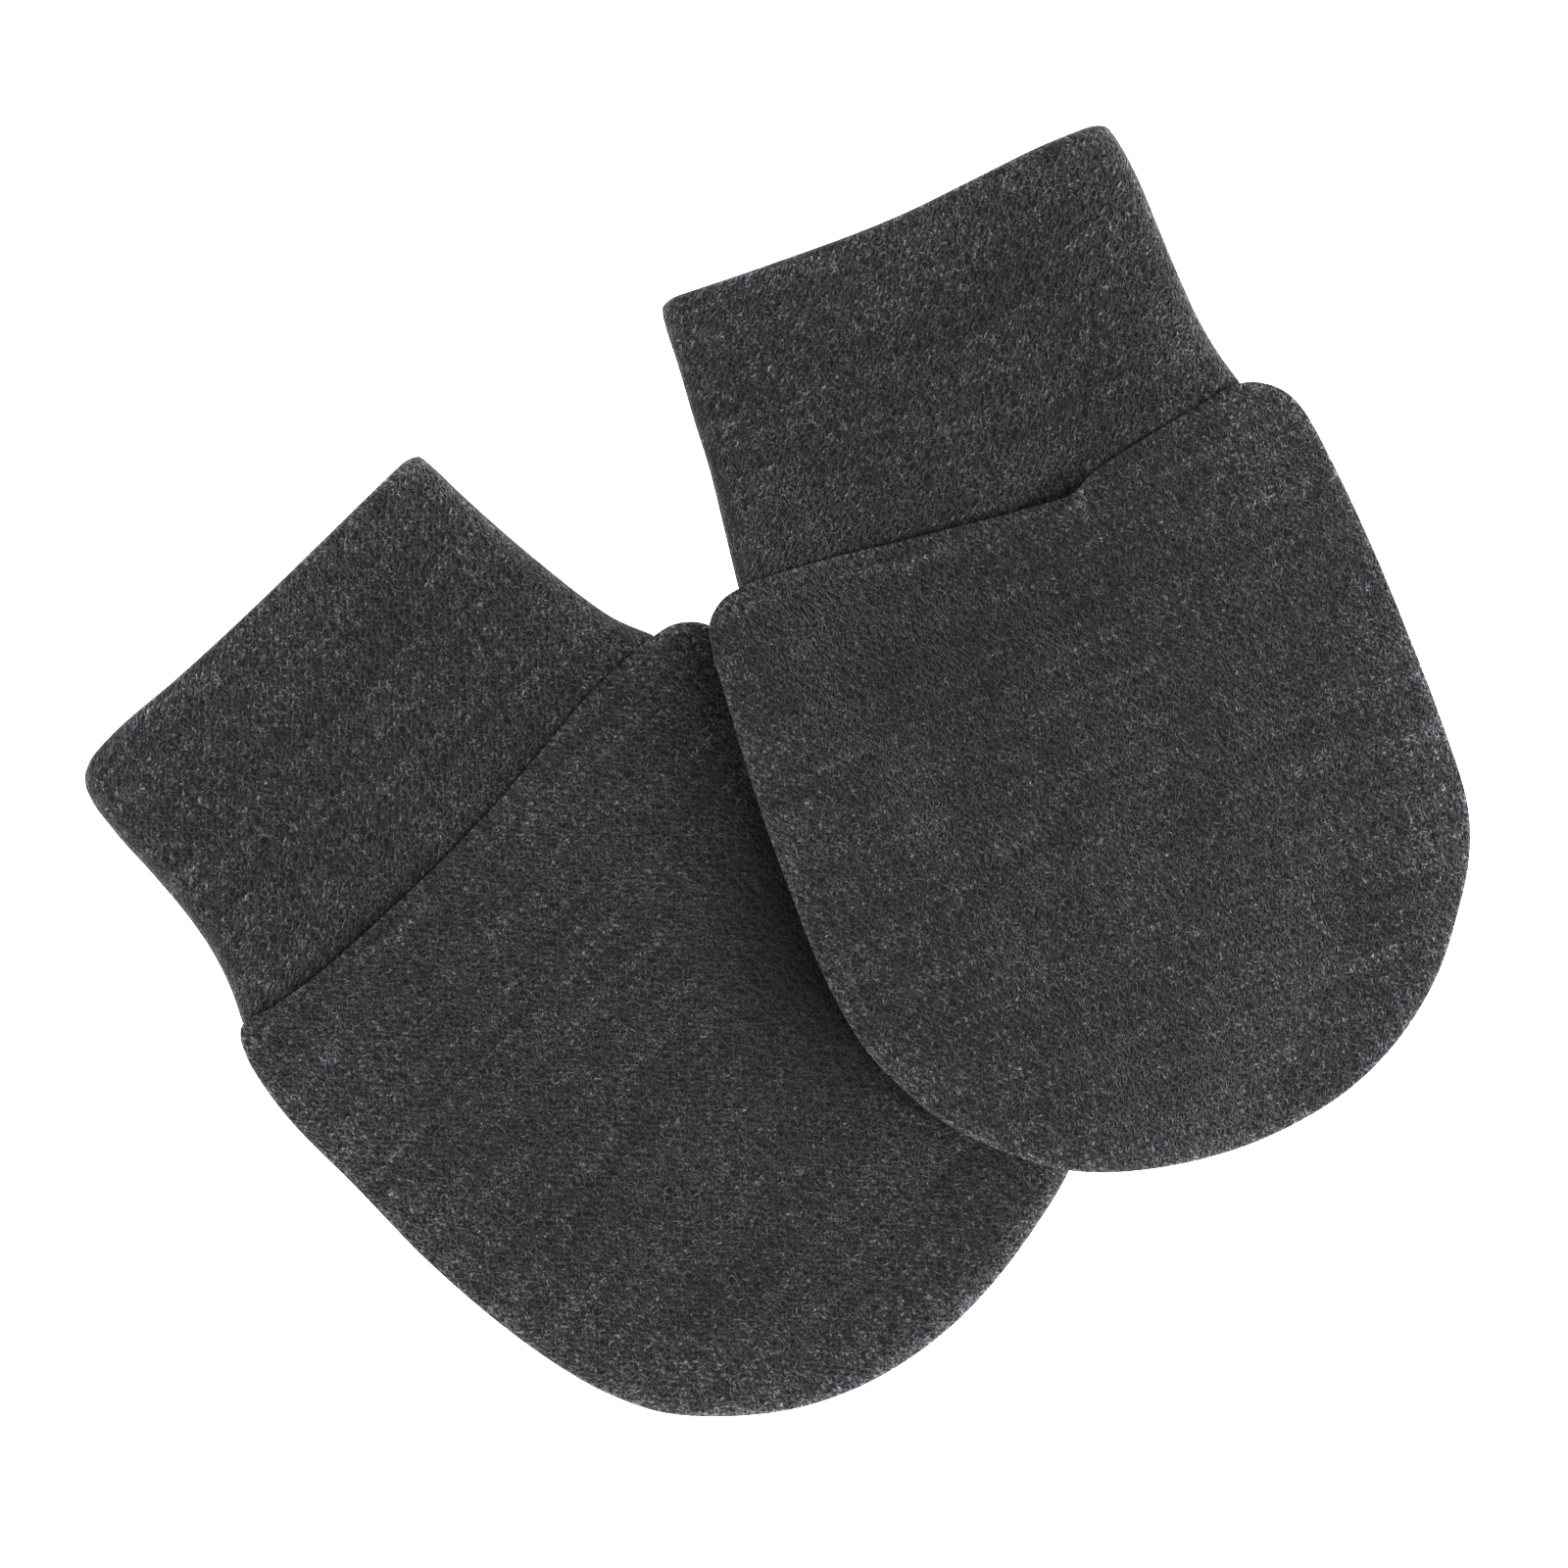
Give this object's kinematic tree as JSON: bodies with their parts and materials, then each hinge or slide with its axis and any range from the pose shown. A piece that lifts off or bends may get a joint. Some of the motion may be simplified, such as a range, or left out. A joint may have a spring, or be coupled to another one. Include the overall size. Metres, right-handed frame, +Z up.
{
  "type": "pair of baby mittens",
  "caption": "Thumbless scratch mittens of dark jersey with wide double cuffs, laid flat with one across the other.",
  "frame": {"origin": "middle of the box round the pair, on the surface that the mittens lie on", "axes": "+Z up out of the surface, +X along the pair's longest side, +Y towards the cuffs' openings"},
  "size_m": [0.1456, 0.1358, 0.0083],
  "materials": {
    "charcoal_jersey": "matt heather interlock jersey, soft fuzz at grazing light"
  },
  "bodies": {
    "root": {"left_palm": "charcoal_jersey", "left_back": "charcoal_jersey", "left_cuff": "charcoal_jersey", "right_palm": "charcoal_jersey", "right_back": "charcoal_jersey", "right_cuff": "charcoal_jersey"}
  },
  "joints": []
}
